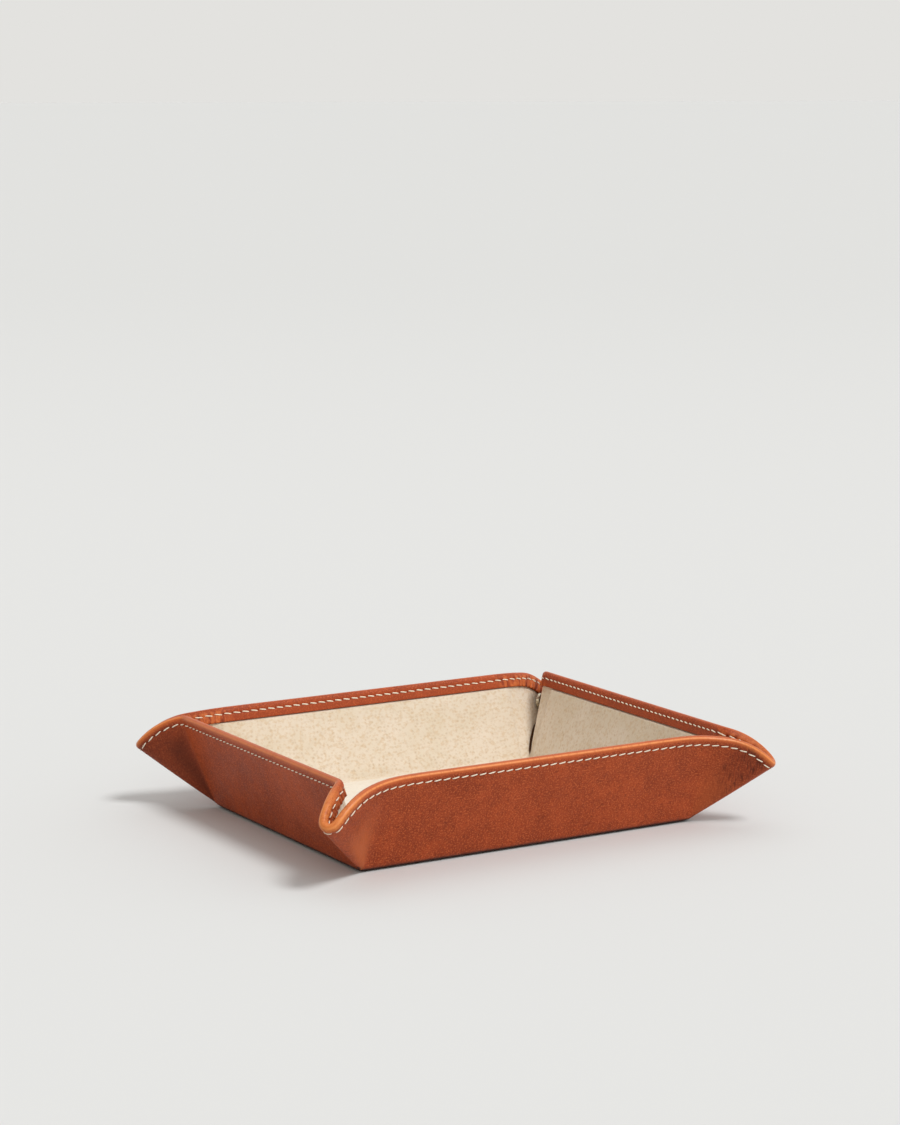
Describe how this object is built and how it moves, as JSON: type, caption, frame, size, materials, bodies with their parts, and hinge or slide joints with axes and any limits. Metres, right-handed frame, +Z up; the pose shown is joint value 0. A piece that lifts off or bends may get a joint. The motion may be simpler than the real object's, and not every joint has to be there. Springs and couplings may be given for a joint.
{
  "type": "folding tray",
  "caption": "Flat leather sheet with stiffened floor and walls whose corners pinch into snapped ears, making an open tray; unsnapped, it unfolds flat",
  "frame": {"origin": "centre of the tray, on the surface it stands on, in the snapped pose", "axes": "X along the long walls, Y from the near long wall to the far one, Z up"},
  "size_m": [0.2048, 0.165, 0.0384],
  "materials": {
    "cognac_leather": "full grain, semi-matt",
    "suede_lining": "suede nap",
    "stiffener_board": "grey board",
    "snap_metal": "bright"
  },
  "bodies": {
    "tray_floor": {"floor_leather": "cognac_leather", "floor_lining": "suede_lining", "floor_board": "stiffener_board"},
    "front_wall": {"front_wall_leather": "cognac_leather", "front_wall_lining": "suede_lining", "front_wall_board": "stiffener_board"},
    "back_wall": {"back_wall_leather": "cognac_leather", "back_wall_lining": "suede_lining", "back_wall_board": "stiffener_board"},
    "left_wall": {"left_wall_leather": "cognac_leather", "left_wall_lining": "suede_lining", "left_wall_board": "stiffener_board"},
    "right_wall": {"right_wall_leather": "cognac_leather", "right_wall_lining": "suede_lining", "right_wall_board": "stiffener_board"},
    "ear_left_near_long": {"ear_left_near_long_half_leather": "cognac_leather", "ear_left_near_long_half_lining": "suede_lining", "ear_left_near_fold_leather": "cognac_leather", "ear_left_near_fold_lining": "suede_lining", "snap_left_near_socket": "snap_metal"},
    "ear_left_near_short": {"ear_left_near_short_half_leather": "cognac_leather", "ear_left_near_short_half_lining": "suede_lining", "ear_left_near_wall_bend_leather": "cognac_leather", "ear_left_near_wall_bend_lining": "suede_lining", "snap_left_near_stud": "snap_metal"},
    "ear_right_near_long": {"ear_right_near_long_half_leather": "cognac_leather", "ear_right_near_long_half_lining": "suede_lining", "ear_right_near_fold_leather": "cognac_leather", "ear_right_near_fold_lining": "suede_lining", "snap_right_near_socket": "snap_metal"},
    "ear_right_near_short": {"ear_right_near_short_half_leather": "cognac_leather", "ear_right_near_short_half_lining": "suede_lining", "ear_right_near_wall_bend_leather": "cognac_leather", "ear_right_near_wall_bend_lining": "suede_lining", "snap_right_near_stud": "snap_metal"},
    "ear_left_far_long": {"ear_left_far_long_half_leather": "cognac_leather", "ear_left_far_long_half_lining": "suede_lining", "ear_left_far_fold_leather": "cognac_leather", "ear_left_far_fold_lining": "suede_lining", "snap_left_far_socket": "snap_metal"},
    "ear_left_far_short": {"ear_left_far_short_half_leather": "cognac_leather", "ear_left_far_short_half_lining": "suede_lining", "ear_left_far_wall_bend_leather": "cognac_leather", "ear_left_far_wall_bend_lining": "suede_lining", "snap_left_far_stud": "snap_metal"},
    "ear_right_far_long": {"ear_right_far_long_half_leather": "cognac_leather", "ear_right_far_long_half_lining": "suede_lining", "ear_right_far_fold_leather": "cognac_leather", "ear_right_far_fold_lining": "suede_lining", "snap_right_far_socket": "snap_metal"},
    "ear_right_far_short": {"ear_right_far_short_half_leather": "cognac_leather", "ear_right_far_short_half_lining": "suede_lining", "ear_right_far_wall_bend_leather": "cognac_leather", "ear_right_far_wall_bend_lining": "suede_lining", "snap_right_far_stud": "snap_metal"}
  },
  "joints": [
    {"name": "front_wall_fold", "type": "hinge", "parent": "tray_floor", "child": "front_wall", "pos_m": [0, -0.05875, 0.0013], "axis": [1, 0, 0], "range_deg": [0, 70.5]},
    {"name": "back_wall_fold", "type": "hinge", "parent": "tray_floor", "child": "back_wall", "pos_m": [0, 0.05875, 0.0013], "axis": [-1, 0, 0], "range_deg": [0, 70.51]},
    {"name": "left_wall_fold", "type": "hinge", "parent": "tray_floor", "child": "left_wall", "pos_m": [-0.075, 0, 0.0013], "axis": [0, -1, 0], "range_deg": [0, 70.51]},
    {"name": "right_wall_fold", "type": "hinge", "parent": "tray_floor", "child": "right_wall", "pos_m": [0.075, 0, 0.0013], "axis": [0, 1, 0], "range_deg": [0, 70.51]},
    {"name": "ear_left_near_crease", "type": "hinge", "parent": "front_wall", "child": "ear_left_near_long", "pos_m": [-0.075, -0.05875, 0.0013], "axis": [-0.0662, 0.3606, -0.9304], "range_deg": [0, 28.61]},
    {"name": "ear_left_near_unfold", "type": "hinge", "parent": "ear_left_near_long", "child": "ear_left_near_short", "pos_m": [-0.075, -0.05875, 0.0013], "axis": [-0.6531, -0.5218, 0.5488], "range_deg": [0, 157.62], "deforming": ["ear_left_near_fold_leather", "ear_left_near_fold_lining", "ear_left_near_wall_bend_leather", "ear_left_near_wall_bend_lining"]},
    {"name": "ear_right_near_crease", "type": "hinge", "parent": "front_wall", "child": "ear_right_near_long", "pos_m": [0.075, -0.05875, 0.0013], "axis": [-0.0662, -0.3606, 0.9304], "range_deg": [0, 28.61]},
    {"name": "ear_right_near_unfold", "type": "hinge", "parent": "ear_right_near_long", "child": "ear_right_near_short", "pos_m": [0.075, -0.05875, 0.0013], "axis": [-0.6531, 0.5218, -0.5488], "range_deg": [0, 157.62], "deforming": ["ear_right_near_fold_leather", "ear_right_near_fold_lining", "ear_right_near_wall_bend_leather", "ear_right_near_wall_bend_lining"]},
    {"name": "ear_left_far_crease", "type": "hinge", "parent": "back_wall", "child": "ear_left_far_long", "pos_m": [-0.075, 0.05875, 0.0013], "axis": [0.0662, 0.3606, 0.9304], "range_deg": [0, 28.61]},
    {"name": "ear_left_far_unfold", "type": "hinge", "parent": "ear_left_far_long", "child": "ear_left_far_short", "pos_m": [-0.075, 0.05875, 0.0013], "axis": [0.6531, -0.5218, -0.5488], "range_deg": [0, 157.62], "deforming": ["ear_left_far_fold_leather", "ear_left_far_fold_lining", "ear_left_far_wall_bend_leather", "ear_left_far_wall_bend_lining"]},
    {"name": "ear_right_far_crease", "type": "hinge", "parent": "back_wall", "child": "ear_right_far_long", "pos_m": [0.075, 0.05875, 0.0013], "axis": [0.0662, -0.3606, -0.9304], "range_deg": [0, 28.61]},
    {"name": "ear_right_far_unfold", "type": "hinge", "parent": "ear_right_far_long", "child": "ear_right_far_short", "pos_m": [0.075, 0.05875, 0.0013], "axis": [0.6531, 0.5218, 0.5488], "range_deg": [0, 157.62], "deforming": ["ear_right_far_fold_leather", "ear_right_far_fold_lining", "ear_right_far_wall_bend_leather", "ear_right_far_wall_bend_lining"]}
  ],
  "couplings": [
    {"joint": "back_wall_fold", "follows": "front_wall_fold", "ratio": 1},
    {"joint": "left_wall_fold", "follows": "front_wall_fold", "ratio": 1},
    {"joint": "right_wall_fold", "follows": "front_wall_fold", "ratio": 1},
    {"joint": "ear_left_near_crease", "follows": "front_wall_fold", "ratio": 0.40563},
    {"joint": "ear_left_near_unfold", "follows": "front_wall_fold", "ratio": 2.2356},
    {"joint": "ear_right_near_crease", "follows": "front_wall_fold", "ratio": 0.40563},
    {"joint": "ear_right_near_unfold", "follows": "front_wall_fold", "ratio": 2.2356},
    {"joint": "ear_left_far_crease", "follows": "front_wall_fold", "ratio": 0.40563},
    {"joint": "ear_left_far_unfold", "follows": "front_wall_fold", "ratio": 2.2356},
    {"joint": "ear_right_far_crease", "follows": "front_wall_fold", "ratio": 0.40563},
    {"joint": "ear_right_far_unfold", "follows": "front_wall_fold", "ratio": 2.2356}
  ]
}
